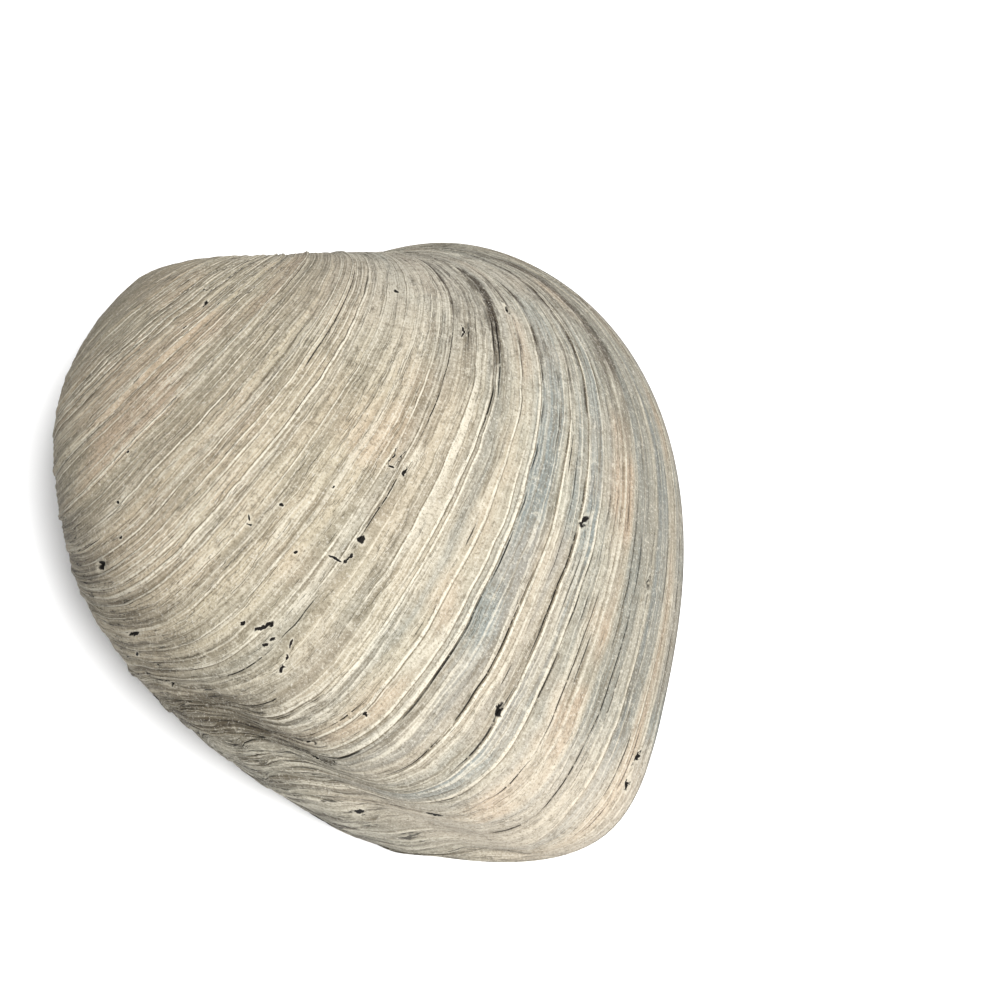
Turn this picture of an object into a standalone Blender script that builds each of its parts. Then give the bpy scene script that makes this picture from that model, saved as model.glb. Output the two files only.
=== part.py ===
"""The right valve of a large hard clam, lying on its rim with its outside up.

X runs from the hinge to the belly edge, Y from the tail end to the head end and
Z up. The rim lies in the plane Z = 0, and the origin is at the middle of the
rim's box. The outside is a growth spiral: every growth line is the rim's
outline again, made smaller towards the beak and turned about the hinge.
"""
import math

import bmesh
import bpy
import numpy as np
from mathutils import Vector
from mathutils.bvhtree import BVHTree

MM = 0.001

# Where the beak's tip stands over the rim plane
BEAK_PLACE = np.array((-38.0, 24.0)) * MM
BEAK_HEIGHT = 5.3 * MM

# The rim from the head end of the hinge, round the belly, to its tail end,
# as X and Y from the beak, in millimetres
RIM_OUTLINE = np.array((
    (5.0, 5.5), (18.0, 19.0), (30.5, 26.0), (45.5, 26.5), (61.5, 20.0),
    (76.0, 5.5), (86.0, -16.5), (90.0, -42.0), (87.5, -62.5), (67.0, -73.5),
    (40.0, -72.5), (18.0, -53.5), (2.5, -22.0),
)) * MM

# How far each of those points lies from there on the young shell's outline,
# when that is drawn at the grown shell's size
YOUNG_SHIFT = np.array((
    (-1.5, 3.0), (-0.5, -0.5), (1.5, -5.0), (2.0, -3.5), (3.0, -0.5),
    (4.0, 2.0), (2.5, 2.5), (0.5, 3.5), (-4.0, 4.0), (-3.0, 1.5),
    (-1.5, -1.0), (-0.5, -1.0), (-1.0, -1.5),
)) * MM

# Growth law: how much the shell grows for each radian that it turns, at four
# sizes, where size 1 is the grown rim
GROWTH_SIZES = (0.0, 0.45, 0.8, 1.0)
GROWTH_RATES = (1.03, 1.04, 0.50, 0.34)
TURN_AXIS = np.array((0.0, -1.0, -0.47))

# Growth ledges: the size at each one and the height of its step
LEDGES = (
    (0.150, 0.25), (0.205, 0.25), (0.262, 0.30), (0.315, 0.30), (0.362, 0.35),
    (0.402, 0.35), (0.437, 0.45), (0.475, 0.35), (0.535, 0.65), (0.580, 0.40),
    (0.622, 0.55), (0.663, 0.45), (0.700, 0.50), (0.738, 0.90), (0.778, 0.60),
    (0.815, 0.60), (0.852, 0.85), (0.880, 0.60), (0.910, 0.75), (0.940, 0.90),
    (0.968, 0.70),
)
LEDGE_DROP = 0.007
LONGEST_TREAD = 0.036
TIP_SIZES = (0.045, 0.07, 0.105)
LIP_SIZES = (0.986, 1.0)

# Fold down the tail side: a furrow with a low rib behind it
FURROW_PLACE = 0.635
FURROW_WIDTH = 0.022
FURROW_DEPTH = 1.1 * MM
RIB_PLACE = 0.685
RIB_WIDTH = 0.030
RIB_HEIGHT = 0.9 * MM
FOLD_START = 0.62

# Inside: the wall, the flat rim and the hinge plate
WALL = 6.0 * MM
RIM_WIDTH = 4.0 * MM
PLATE_WIDTH = 12.5 * MM
PLATE_MIDDLE = math.radians(168.0)
PLATE_SPREAD = math.radians(44.0)
INSIDE_CENTRE = np.array((38.0, -22.0, 0.0)) * MM
INSIDE_ANGLES = (5.0, 11.0, 18.0, 26.0, 35.0, 45.0, 56.0, 68.0, 80.0)
INSIDE_SPREAD_PER_DEGREE = 0.75 * MM
INSIDE_SMOOTHING = math.radians(9.0)

# Mesh density
OUTLINE_STEPS = 58
HINGE_STEPS = 6
TURN_STEPS = 600


def smooth_curve(points, count):
    """Even points on a natural cubic spline through the given points."""
    gaps = np.hypot(*np.diff(points, axis=0).T)
    knots = np.concatenate(((0.0,), np.cumsum(gaps)))
    last = len(points) - 1
    matrix = np.eye(last + 1)
    right = np.zeros((last + 1, 2))
    slopes = np.diff(points, axis=0) / gaps[:, None]
    for i in range(1, last):
        matrix[i, i - 1:i + 2] = gaps[i - 1], 2 * (gaps[i - 1] + gaps[i]), gaps[i]
        right[i] = 6 * (slopes[i] - slopes[i - 1])
    bends = np.linalg.solve(matrix, right)

    def at(place):
        i = np.clip(np.searchsorted(knots, place) - 1, 0, last - 1)
        width = gaps[i][:, None]
        before = (place - knots[i])[:, None] / width
        after = 1 - before
        straight = after * points[i] + before * points[i + 1]
        curve = (after**3 - after) * bends[i] + (before**3 - before) * bends[i + 1]
        return straight + curve * width**2 / 6

    fine = at(np.linspace(0, knots[-1], 40 * last))
    lengths = np.concatenate(((0.0,), np.cumsum(np.hypot(*np.diff(fine, axis=0).T))))
    even = np.linspace(0, lengths[-1], count)
    return np.column_stack([np.interp(even, lengths, fine[:, k]) for k in (0, 1)])


def closed_outline(points):
    """The outline's columns, with the straight hinge line closing the ring."""
    outer = smooth_curve(points, OUTLINE_STEPS + 1)
    steps = np.linspace(0, 1, HINGE_STEPS + 1)[1:-1, None]
    hinge = outer[-1] * (1 - steps) + outer[0] * steps
    return np.vstack((outer, hinge))


def turned_angle(sizes):
    """Angle that the shell has turned back from the rim at each size."""
    log_sizes = np.linspace(math.log(min(sizes)), 0, TURN_STEPS)
    rates = np.interp(np.exp(log_sizes), GROWTH_SIZES, GROWTH_RATES)
    steps = np.diff(log_sizes) * (1 / rates[1:] + 1 / rates[:-1]) / 2
    angles = np.concatenate((np.cumsum(steps[::-1])[::-1], (0.0,)))
    return np.interp(np.log(sizes), log_sizes, angles)


def turned(points, angle):
    """Points turned about the hinge axis, whose length scales the angle."""
    length = np.linalg.norm(TURN_AXIS)
    axis = TURN_AXIS / length
    c, s = math.cos(angle * length), math.sin(angle * length)
    along = points @ axis
    return points * c + np.cross(axis, points) * s + np.outer(along, axis) * (1 - c)


def growth_lines(sizes):
    """One closed ring of points for each size, beak first, without relief."""
    grown = closed_outline(RIM_OUTLINE)
    young = closed_outline(RIM_OUTLINE + YOUNG_SHIFT)
    beak = np.array((*BEAK_PLACE, BEAK_HEIGHT))
    rings = []
    for size, angle in zip(sizes, turned_angle(sizes)):
        flat = grown * size + young * (1 - size)
        ring = np.column_stack((flat, np.full(len(flat), -BEAK_HEIGHT)))
        rings.append(turned(ring, angle) * size + beak)
    return np.array(rings)


def ring_sizes():
    """Sizes of all rings: a crest and a foot at each ledge, and even treads."""
    sizes = list(TIP_SIZES)
    for size, _ in LEDGES:
        gap = size - sizes[-1]
        treads = math.ceil(gap / LONGEST_TREAD)
        sizes += [sizes[-1] + gap * k / treads for k in range(1, treads + 1)]
        sizes.append(size + LEDGE_DROP)
    return np.array(sizes + list(LIP_SIZES))


def bump(value, middle, width):
    """A smooth hill of height 1."""
    return np.exp(-((value - middle) / width) ** 2)


def relief(sizes):
    """Height of the surface over the growth lines: ledges and the tail fold."""
    around = np.linspace(0, 1, OUTLINE_STEPS + 1)
    ends = np.clip(np.minimum(around, 1 - around) / 0.06, 0, 1)
    heights = np.zeros((len(sizes), OUTLINE_STEPS + HINGE_STEPS))
    foot = TIP_SIZES[-1]
    ledge_rows = []
    for number, (size, step) in enumerate(LEDGES):
        ledge_rows.append((foot, size, step, number))
        foot = size + LEDGE_DROP
    for row, size in enumerate(sizes):
        for start, crest, step, number in ledge_rows:
            if start <= size <= crest + 1e-9:
                rise = (size - start) / (crest - start) - 0.5
                wave = 1 + 0.3 * np.sin(math.tau * (2.3 * around + 0.37 * number))
                heights[row, :OUTLINE_STEPS + 1] = rise * step * MM * wave * ends
        grown_in = np.clip((size - FOLD_START) / 0.12, 0, 1)
        lip_out = np.clip((1 - size) / 0.02, 0, 1)
        fold = RIB_HEIGHT * bump(around, RIB_PLACE, RIB_WIDTH)
        fold -= FURROW_DEPTH * bump(around, FURROW_PLACE, FURROW_WIDTH)
        heights[row, :OUTLINE_STEPS + 1] += fold * grown_in * lip_out
    return heights


def outward(rings):
    """Unit normals of the rings' surface, pointing out of the shell."""
    around = np.roll(rings, -1, axis=1) - np.roll(rings, 1, axis=1)
    along = np.gradient(rings, axis=0)
    normals = np.cross(around, along)
    return normals / np.linalg.norm(normals, axis=2, keepdims=True)


def loft(mesh, rings):
    """Adds the rings' points and the quads between neighbouring rings."""
    rows = [[mesh.verts.new(point) for point in ring] for ring in rings]
    for near, far in zip(rows, rows[1:]):
        for i in range(len(near)):
            k = (i + 1) % len(near)
            mesh.faces.new((near[i], near[k], far[k], far[i]))
    return rows


def close_with_point(mesh, row, point, flip):
    """Closes a ring with a fan of triangles to one point."""
    tip = mesh.verts.new(point)
    for i in range(len(row)):
        k = (i + 1) % len(row)
        corners = (row[k], row[i], tip) if flip else (row[i], row[k], tip)
        mesh.faces.new(corners)


def search_tree(rings):
    """A search tree of a lofted surface, for measuring the wall."""
    mesh = bmesh.new()
    loft(mesh, rings)
    tree = BVHTree.FromBMesh(mesh)
    mesh.free()
    return tree


def smoothed_around(rows, azimuths):
    """Rows of values around the shell, averaged with their neighbours."""
    apart = (azimuths[:, None] - azimuths + math.pi) % math.tau - math.pi
    weights = bump(apart, 0, INSIDE_SMOOTHING)
    return rows @ (weights / weights.sum(axis=0))


def inside_rings(outer):
    """The inner surface, from the rim up into the hollow, and its top point."""
    tree = search_tree(outer)
    centre = INSIDE_CENTRE + np.array((*BEAK_PLACE, 0.0))
    offsets = outer[-1] - centre
    azimuths = np.arctan2(offsets[:, 1], offsets[:, 0])
    from_plate = (azimuths - PLATE_MIDDLE + math.pi) % math.tau - math.pi
    plate = np.exp(-(from_plate / PLATE_SPREAD) ** 4)
    band = RIM_WIDTH + (PLATE_WIDTH - RIM_WIDTH) * plate
    edge = np.hypot(offsets[:, 0], offsets[:, 1]) - band
    reaches = [edge]
    ways = [np.column_stack((np.cos(azimuths), np.sin(azimuths), 0 * azimuths))]
    for angle in INSIDE_ANGLES:
        rise = math.radians(angle)
        way = ways[0] * math.cos(rise) + np.array((0, 0, math.sin(rise)))
        hits = [tree.ray_cast(Vector(centre), Vector(line))[3] for line in way]
        spread = edge + angle * INSIDE_SPREAD_PER_DEGREE
        reaches.append(np.minimum(np.array(hits) - WALL, spread))
        ways.append(way)
    reaches = smoothed_around(np.array(reaches), azimuths)
    rings = [centre + way * reach[:, None] for way, reach in zip(ways, reaches)]
    top = tree.ray_cast(Vector(centre), Vector((0, 0, 1)))[3] - WALL
    return rings, centre + np.array((0, 0, top))


def shell_material():
    """Chalky, weathered shell."""
    material = bpy.data.materials.new("shell")
    material.use_nodes = True
    shader = material.node_tree.nodes["Principled BSDF"]
    shader.inputs["Base Color"].default_value = (0.56, 0.49, 0.39, 1)
    shader.inputs["Roughness"].default_value = 0.75
    shader.inputs["Metallic"].default_value = 0.0
    return material


def right_valve():
    """One closed solid: outside, flat rim and inside."""
    sizes = ring_sizes()
    smooth = growth_lines(sizes)
    outer = smooth + outward(smooth) * relief(sizes)[:, :, None]
    outer[-1, :, 2] = 0
    inner, top = inside_rings(smooth)
    mesh = bmesh.new()
    rows = loft(mesh, list(outer) + inner)
    tip = outer[0].mean(axis=0)
    close_with_point(mesh, rows[0], tip, flip=True)
    close_with_point(mesh, rows[-1], top, flip=False)
    bmesh.ops.recalc_face_normals(mesh, faces=mesh.faces)
    bmesh.ops.triangulate(mesh, faces=mesh.faces)
    data = bpy.data.meshes.new("right_valve")
    mesh.to_mesh(data)
    mesh.free()
    data.shade_smooth()
    data.materials.append(shell_material())
    return bpy.data.objects.new("right_valve", data)


def main():
    for item in list(bpy.data.objects):
        bpy.data.objects.remove(item)
    clam_shell = bpy.data.collections.new("clam_shell")
    bpy.context.scene.collection.children.link(clam_shell)
    clam_shell.objects.link(right_valve())


main()
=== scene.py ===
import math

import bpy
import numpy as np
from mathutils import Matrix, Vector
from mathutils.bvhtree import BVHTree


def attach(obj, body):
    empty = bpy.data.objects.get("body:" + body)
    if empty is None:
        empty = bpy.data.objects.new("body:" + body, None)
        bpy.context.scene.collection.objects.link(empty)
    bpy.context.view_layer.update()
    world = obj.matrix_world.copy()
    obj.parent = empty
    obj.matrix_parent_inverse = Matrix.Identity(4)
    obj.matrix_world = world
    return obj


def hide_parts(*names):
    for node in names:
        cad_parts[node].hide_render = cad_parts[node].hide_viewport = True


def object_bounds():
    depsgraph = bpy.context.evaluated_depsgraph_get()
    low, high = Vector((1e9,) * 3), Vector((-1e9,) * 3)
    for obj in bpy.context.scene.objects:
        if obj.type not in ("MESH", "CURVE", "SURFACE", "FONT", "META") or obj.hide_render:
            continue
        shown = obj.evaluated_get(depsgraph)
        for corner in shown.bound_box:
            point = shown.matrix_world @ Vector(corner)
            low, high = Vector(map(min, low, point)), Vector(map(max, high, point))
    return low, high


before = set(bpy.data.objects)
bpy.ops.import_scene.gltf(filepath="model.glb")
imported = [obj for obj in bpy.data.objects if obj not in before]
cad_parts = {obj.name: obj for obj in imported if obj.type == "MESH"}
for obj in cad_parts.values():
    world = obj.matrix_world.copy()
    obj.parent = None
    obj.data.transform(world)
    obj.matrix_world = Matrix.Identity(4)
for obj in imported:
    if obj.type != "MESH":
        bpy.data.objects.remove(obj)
cad_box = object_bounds()

# The weathered outside, rim and inside of a hard clam's right valve.
#
# Lengths are in metres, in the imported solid's frame: X runs from the hinge to the
# belly edge, Y towards the head end and Z up. Two coordinates run over the
# outside: "size", the growth line's size against the grown rim's, and "around",
# the share of the rim's length from the head end of the hinge to its tail end.

MM = 0.001

# Camera and studio, as the photograph was taken
CAMERA_PLACE = Vector((0.0458, -0.0683, 0.2151))
CAMERA_AIM = Vector((0.0195, 0.0000, 0.0200))
CAMERA_ROLL = math.radians(-2.4)
CAMERA_LENS = 50.4
CAMERA_SENSOR = 36.0
EXPOSURE = 0.555
NEAREST_SEEN = 0.01
KEY_PLACE = (0.36, -0.06, 0.73)
KEY_AIM = (0.0, 0.0, 0.01)
KEY_WIDTH = 0.36
KEY_WATTS = 12.5
SKY_STRENGTH = 0.42
FLOOR_HALF = 12.0
FLOOR_LEVEL = -0.0001
FLOOR_GREY = 0.9

# The valve's growth spiral, as in the solid
BEAK_PLACE = np.array((-38.0, 24.0)) * MM
BEAK_HEIGHT = 5.3 * MM
RIM_OUTLINE = np.array((
    (5.0, 5.5), (18.0, 19.0), (30.5, 26.0), (45.5, 26.5), (61.5, 20.0),
    (76.0, 5.5), (86.0, -16.5), (90.0, -42.0), (87.5, -62.5), (67.0, -73.5),
    (40.0, -72.5), (18.0, -53.5), (2.5, -22.0),
)) * MM
YOUNG_SHIFT = np.array((
    (-1.5, 3.0), (-0.5, -0.5), (1.5, -5.0), (2.0, -3.5), (3.0, -0.5),
    (4.0, 2.0), (2.5, 2.5), (0.5, 3.5), (-4.0, 4.0), (-3.0, 1.5),
    (-1.5, -1.0), (-0.5, -1.0), (-1.0, -1.5),
)) * MM
GROWTH_SIZES = (0.0, 0.45, 0.8, 1.0)
GROWTH_RATES = (1.03, 1.04, 0.50, 0.34)
TURN_AXIS = np.array((0.0, -1.0, -0.47))
SMALLEST = 0.045

# Steps between old growth stages: size, and height in millimetres
LEDGES = (
    (0.205, 0.12), (0.262, 0.15), (0.315, 0.18), (0.362, 0.22),
    (0.402, 0.22), (0.437, 0.28), (0.486, 0.28), (0.545, 0.60), (0.590, 0.25),
    (0.625, 0.45), (0.655, 0.28), (0.698, 0.28), (0.743, 0.60), (0.785, 0.32),
    (0.811, 0.32), (0.832, 0.38), (0.857, 0.50), (0.878, 0.38), (0.910, 0.45),
    (0.940, 0.55), (0.975, 0.45),
)
LEDGE_DROP = 0.003

# The relief fades out close to the rim's edge and on the beak's tip
RIM_CALM = 0.985
BEAK_CALM = (0.10, 0.2)

# Fine raised lines: size, and strength from 1 to 3
RIDGES = (
    (0.160, 1), (0.178, 1), (0.191, 1), (0.212, 1), (0.228, 1), (0.241, 2),
    (0.258, 1), (0.270, 1), (0.284, 1), (0.299, 2), (0.312, 1), (0.324, 1),
    (0.338, 2), (0.350, 1), (0.361, 1), (0.372, 2), (0.381, 2), (0.390, 2),
    (0.399, 2), (0.409, 3), (0.418, 2), (0.426, 3), (0.435, 3), (0.445, 3),
    (0.455, 2), (0.464, 3), (0.473, 2), (0.482, 3), (0.492, 3), (0.503, 2),
    (0.514, 2), (0.523, 1), (0.533, 1), (0.541, 3), (0.556, 2), (0.563, 2),
    (0.571, 1), (0.578, 2), (0.587, 2), (0.595, 1), (0.607, 2), (0.613, 1),
    (0.621, 3), (0.629, 2), (0.636, 2), (0.645, 3), (0.655, 2), (0.661, 1),
    (0.670, 2), (0.678, 1), (0.685, 2), (0.693, 2), (0.699, 1), (0.707, 2),
    (0.714, 1), (0.720, 2), (0.729, 3), (0.7395, 2), (0.752, 1), (0.761, 1),
    (0.769, 2), (0.777, 1), (0.7825, 3), (0.788, 2), (0.796, 1), (0.8095, 3),
    (0.817, 1), (0.822, 2), (0.8285, 3), (0.837, 1), (0.8435, 1), (0.8495, 1),
    (0.8595, 3), (0.866, 1), (0.872, 1), (0.880, 3), (0.886, 1), (0.8935, 3),
    (0.900, 1), (0.905, 1), (0.9125, 2), (0.919, 2), (0.9275, 1), (0.934, 1),
    (0.9425, 2), (0.9485, 1), (0.957, 3), (0.964, 1), (0.970, 1), (0.977, 2),
    (0.986, 2), (0.990, 1),
)
RIDGE_HEIGHT = 0.065 * MM
RIDGE_HALF_WIDTH = 0.0014

# Open cracks between layers: size, from and to around, and depth in millimetres
CRACKS = (
    (0.5450, 0.17, 0.36, 0.22), (0.5435, 0.46, 0.67, 0.24),
    (0.5900, 0.58, 0.68, 0.20), (0.6250, 0.14, 0.37, 0.38),
    (0.6420, 0.20, 0.33, 0.18), (0.7430, 0.11, 0.38, 0.36),
    (0.7425, 0.37, 0.72, 0.20), (0.7600, 0.10, 0.30, 0.26),
    (0.7720, 0.58, 0.73, 0.30), (0.7850, 0.11, 0.36, 0.28),
    (0.7860, 0.57, 0.72, 0.34), (0.7905, 0.12, 0.33, 0.36),
    (0.8010, 0.59, 0.73, 0.36), (0.8065, 0.38, 0.72, 0.22),
    (0.8120, 0.12, 0.36, 0.36), (0.8200, 0.58, 0.72, 0.34),
    (0.8320, 0.10, 0.47, 0.30), (0.8310, 0.46, 0.68, 0.28),
    (0.8430, 0.60, 0.72, 0.30), (0.8480, 0.12, 0.40, 0.22),
    (0.8570, 0.30, 0.70, 0.42), (0.8630, 0.10, 0.40, 0.26),
    (0.8690, 0.34, 0.54, 0.24), (0.8775, 0.11, 0.66, 0.44),
    (0.8870, 0.22, 0.52, 0.22), (0.8960, 0.12, 0.64, 0.24),
    (0.9030, 0.24, 0.50, 0.22), (0.9100, 0.12, 0.60, 0.34),
    (0.9160, 0.34, 0.59, 0.26), (0.9240, 0.10, 0.47, 0.30),
    (0.9330, 0.22, 0.50, 0.24), (0.9395, 0.16, 0.62, 0.44),
    (0.9470, 0.30, 0.56, 0.24), (0.9550, 0.16, 0.45, 0.26),
    (0.9640, 0.26, 0.55, 0.24), (0.9735, 0.16, 0.60, 0.36),
    (0.9810, 0.20, 0.58, 0.34), (0.9925, 0.34, 0.56, 0.24),
)
CRACK_HALF_WIDTH = 0.0008
# Crack depth that scales the crack attribute, which sets the painted shade in the cracks
BLACK_DEPTH = 0.4 * MM

# Pits: around, size, half length around, half width in size, and slant
PITS = (
    (0.4020, 0.8830, 0.0050, 0.0030, -0.23), (0.5270, 0.8765, 0.0045, 0.0020, 0.18),
    (0.4650, 0.7435, 0.0030, 0.0026, 0.00), (0.4100, 0.7450, 0.0042, 0.0013, 0.00),
    (0.4800, 0.7430, 0.0045, 0.0012, 0.00), (0.4843, 0.7365, 0.0009, 0.0052, 0.00),
    (0.5470, 0.7290, 0.0065, 0.0016, -0.14), (0.5530, 0.7175, 0.0022, 0.0012, 0.09),
    (0.5510, 0.7385, 0.0022, 0.0012, 0.00), (0.5570, 0.7385, 0.0018, 0.0012, 0.00),
    (0.5470, 0.7490, 0.0032, 0.0010, 0.14), (0.5560, 0.7525, 0.0022, 0.0010, 0.18),
    (0.5645, 0.7565, 0.0032, 0.0013, 0.18), (0.6060, 0.6130, 0.0065, 0.0040, 0.14),
    (0.6380, 0.6880, 0.0080, 0.0018, 0.05), (0.6480, 0.7250, 0.0040, 0.0012, 0.05),
    (0.6620, 0.7120, 0.0034, 0.0018, 0.36), (0.6580, 0.7480, 0.0040, 0.0018, 0.23),
    (0.5650, 0.6020, 0.0018, 0.0012, 0.00), (0.5450, 0.5740, 0.0014, 0.0012, 0.00),
    (0.4930, 0.7135, 0.0014, 0.0012, 0.00), (0.4690, 0.6820, 0.0014, 0.0014, 0.00),
    (0.2490, 0.8105, 0.0041, 0.0030, 0.00), (0.2545, 0.6800, 0.0026, 0.0030, 0.00),
    (0.2830, 0.7550, 0.0050, 0.0011, 0.27), (0.2870, 0.7550, 0.0040, 0.0010, -0.27),
    (0.6150, 0.8380, 0.0070, 0.0016, -0.09), (0.6260, 0.8420, 0.0075, 0.0024, -0.23),
    (0.6120, 0.8120, 0.0100, 0.0026, -0.14), (0.5630, 0.8130, 0.0020, 0.0014, 0.41),
    (0.6140, 0.9160, 0.0036, 0.0016, 0.18), (0.6560, 0.9280, 0.0028, 0.0012, 0.09),
    (0.5290, 0.9860, 0.0050, 0.0016, -0.14), (0.5440, 0.9865, 0.0040, 0.0018, 0.14),
    (0.4280, 0.9535, 0.0045, 0.0010, 0.00), (0.4400, 0.7060, 0.0012, 0.0010, 0.00),
    (0.4030, 0.7310, 0.0075, 0.0005, 0.03), (0.4030, 0.7372, 0.0070, 0.0005, 0.00),
    (0.4106, 0.7340, 0.0008, 0.0030, 0.00), (0.4885, 0.6690, 0.0018, 0.0011, 0.30),
    (0.4925, 0.6725, 0.0016, 0.0008, -0.20), (0.5060, 0.5450, 0.0016, 0.0012, 0.10),
    (0.3320, 0.4580, 0.0050, 0.0030, 0.09), (0.3130, 0.4330, 0.0040, 0.0028, 0.00),
    (0.3280, 0.4790, 0.0030, 0.0020, 0.18), (0.3700, 0.4720, 0.0030, 0.0018, 0.00),
)
PIT_DEPTH = 0.75 * MM
AROUND_TO_SIZE = 2.5
PITS_IN_MESH = 0.0040

# The growth lines lean and bend a little against the spiral's
LEAN = -0.16
LEAN_MIDDLE = 0.42
LEAN_REACH = 0.22
LEAN_SIZE = 0.45
LEAN_FADE = 0.13

# Fold down the tail side
FOLD_START = 0.75
FURROW_PLACE = 0.635
FURROW_WIDTH = 0.022
FURROW_DEPTH = 1.3 * MM
RIB_PLACE = 0.685
RIB_WIDTH = 0.030
RIB_HEIGHT = 0.6 * MM

# Inside: the wall, the flat rim and the hinge plate
WALL = 6.0 * MM
RIM_WIDTH = 4.0 * MM
RIM_BEVEL = 0.9 * MM
TOOTH_HEIGHT = 0.22 * MM
TOOTH_ROWS = 5
PLATE_WIDTH = 12.5 * MM
PLATE_MIDDLE = math.radians(168.0)
PLATE_SPREAD = math.radians(44.0)
INSIDE_CENTRE = np.array((38.0, -22.0, 0.0)) * MM
INSIDE_SPREAD_PER_DEGREE = 0.75 * MM
INSIDE_SMOOTHING = math.radians(9.0)

# Sockets between the hinge teeth, and the ligament's groove, in millimetres
# from the beak: one end, other end, half width and depth
SOCKETS = (
    (8.0, 3.6, 12.0, 7.6, 0.85, 1.9), (8.0, -0.6, 14.2, -0.8, 1.15, 2.3),
    (7.6, -5.4, 14.0, -11.6, 1.25, 2.1), (7.4, -11.0, 11.6, -22.0, 0.8, 1.2),
    (4.9, -7.0, 6.6, -24.0, 0.7, 1.3),
)

# Muscle scars: middle, and half lengths along X and Y, in millimetres
SCARS = ((-5.0, 29.0, 9.0, 6.0), (2.0, -34.0, 10.5, 6.5))

# Mesh density
OUTSIDE_COLUMNS = 142
HINGE_COLUMNS = 8
SHOWN_AROUND = (0.07, 0.76)
HIDDEN_SPACING = 1.9
CLOSEST_COLUMNS = 0.0018
CLOSEST_ROWS = 0.00075
WIDEST_ROWS = 0.0046
GROOVE_WIDTH = 0.0009
GROOVE_DEPTH = 0.05 * MM
INSIDE_COLUMNS = 300
INSIDE_HINGE_STEPS = 41
BAND_ROWS = 22
BAND_START = 0.04
INSIDE_ROWS = 34
CROWDED_ROWS = 1.25
WALL_RINGS = 90
HINGE_SHARE = 0.1
TURN_STEPS = 900
OUTLINE_STEPS = 80
EARLY_ROWS_END = 0.3
EARLY_ROWS_GAP = 3.2


def smoothstep(low, high, value):
    """Rises smoothly from 0 at low to 1 at high."""
    share = np.clip((value - low) / (high - low), 0, 1)
    return share * share * (3 - 2 * share)


def bump(value, middle, width):
    """A smooth hill of height 1."""
    return np.exp(-((value - middle) / width) ** 2)


def noise(x, y, seed):
    """Smooth noise from -1 to 1, with one random value for each unit cell."""
    x, y = np.broadcast_arrays(x, y)
    x0, y0 = np.floor(x).astype(int), np.floor(y).astype(int)
    fx, fy = x - x0, y - y0
    fx, fy = fx * fx * (3 - 2 * fx), fy * fy * (3 - 2 * fy)
    x0, y0 = x0 - x0.min(), y0 - y0.min()
    cells = np.random.default_rng(seed).uniform(-1, 1, (x0.max() + 2, y0.max() + 2))
    near = cells[x0, y0] * (1 - fx) + cells[x0 + 1, y0] * fx
    far = cells[x0, y0 + 1] * (1 - fx) + cells[x0 + 1, y0 + 1] * fx
    return near * (1 - fy) + far * fy


def smooth_curve(points, places):
    """Points at the given shares of the length of a natural cubic spline."""
    gaps = np.hypot(*np.diff(points, axis=0).T)
    knots = np.concatenate(((0.0,), np.cumsum(gaps)))
    last = len(points) - 1
    matrix = np.eye(last + 1)
    right = np.zeros((last + 1, 2))
    slopes = np.diff(points, axis=0) / gaps[:, None]
    for i in range(1, last):
        matrix[i, i - 1:i + 2] = gaps[i - 1], 2 * (gaps[i - 1] + gaps[i]), gaps[i]
        right[i] = 6 * (slopes[i] - slopes[i - 1])
    bends = np.linalg.solve(matrix, right)

    def at(place):
        i = np.clip(np.searchsorted(knots, place) - 1, 0, last - 1)
        width = gaps[i][:, None]
        before = (place - knots[i])[:, None] / width
        after = 1 - before
        straight = after * points[i] + before * points[i + 1]
        curve = (after**3 - after) * bends[i] + (before**3 - before) * bends[i + 1]
        return straight + curve * width**2 / 6

    fine = at(np.linspace(0, knots[-1], OUTLINE_STEPS * last))
    lengths = np.concatenate(((0.0,), np.cumsum(np.hypot(*np.diff(fine, axis=0).T))))
    wanted = np.asarray(places) * lengths[-1]
    return np.column_stack([np.interp(wanted, lengths, fine[:, k]) for k in (0, 1)])


def closed_outline(points, places, hinge_steps):
    """The outline's columns, with the straight hinge line closing the ring."""
    outer = smooth_curve(points, places)
    steps = np.linspace(0, 1, hinge_steps + 1)[1:-1, None]
    hinge = outer[-1] * (1 - steps) + outer[0] * steps
    return np.vstack((outer, hinge))


def turned_angle(sizes):
    """Angle that the shell has turned back from the rim at each size."""
    log_sizes = np.linspace(math.log(SMALLEST), 0, TURN_STEPS)
    rates = np.interp(np.exp(log_sizes), GROWTH_SIZES, GROWTH_RATES)
    steps = np.diff(log_sizes) * (1 / rates[1:] + 1 / rates[:-1]) / 2
    angles = np.concatenate((np.cumsum(steps[::-1])[::-1], (0.0,)))
    return np.interp(np.log(sizes), log_sizes, angles)


def spiral(sizes, places, hinge_steps):
    """Points of the smooth outside. sizes has a row for each growth line."""
    grown = closed_outline(RIM_OUTLINE, places, hinge_steps)
    young = closed_outline(RIM_OUTLINE + YOUNG_SHIFT, places, hinge_steps)
    share = sizes[..., None]
    flat = grown * share + young * (1 - share)
    points = np.concatenate((flat, np.full(sizes.shape + (1,), -BEAK_HEIGHT)), axis=2)
    length = np.linalg.norm(TURN_AXIS)
    axis = TURN_AXIS / length
    angles = turned_angle(sizes)[..., None] * length
    along = (points @ axis)[..., None] * axis
    across = np.cross(axis, points)
    turned = points * np.cos(angles) + across * np.sin(angles) + along * (1 - np.cos(angles))
    return turned * share + np.array((*BEAK_PLACE, BEAK_HEIGHT))


def outward(rings):
    """Unit normals of the rings' surface, pointing out of the shell."""
    around = np.roll(rings, -1, axis=1) - np.roll(rings, 1, axis=1)
    along = np.gradient(rings, axis=0)
    normals = np.cross(around, along)
    return normals / np.linalg.norm(normals, axis=2, keepdims=True)


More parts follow.
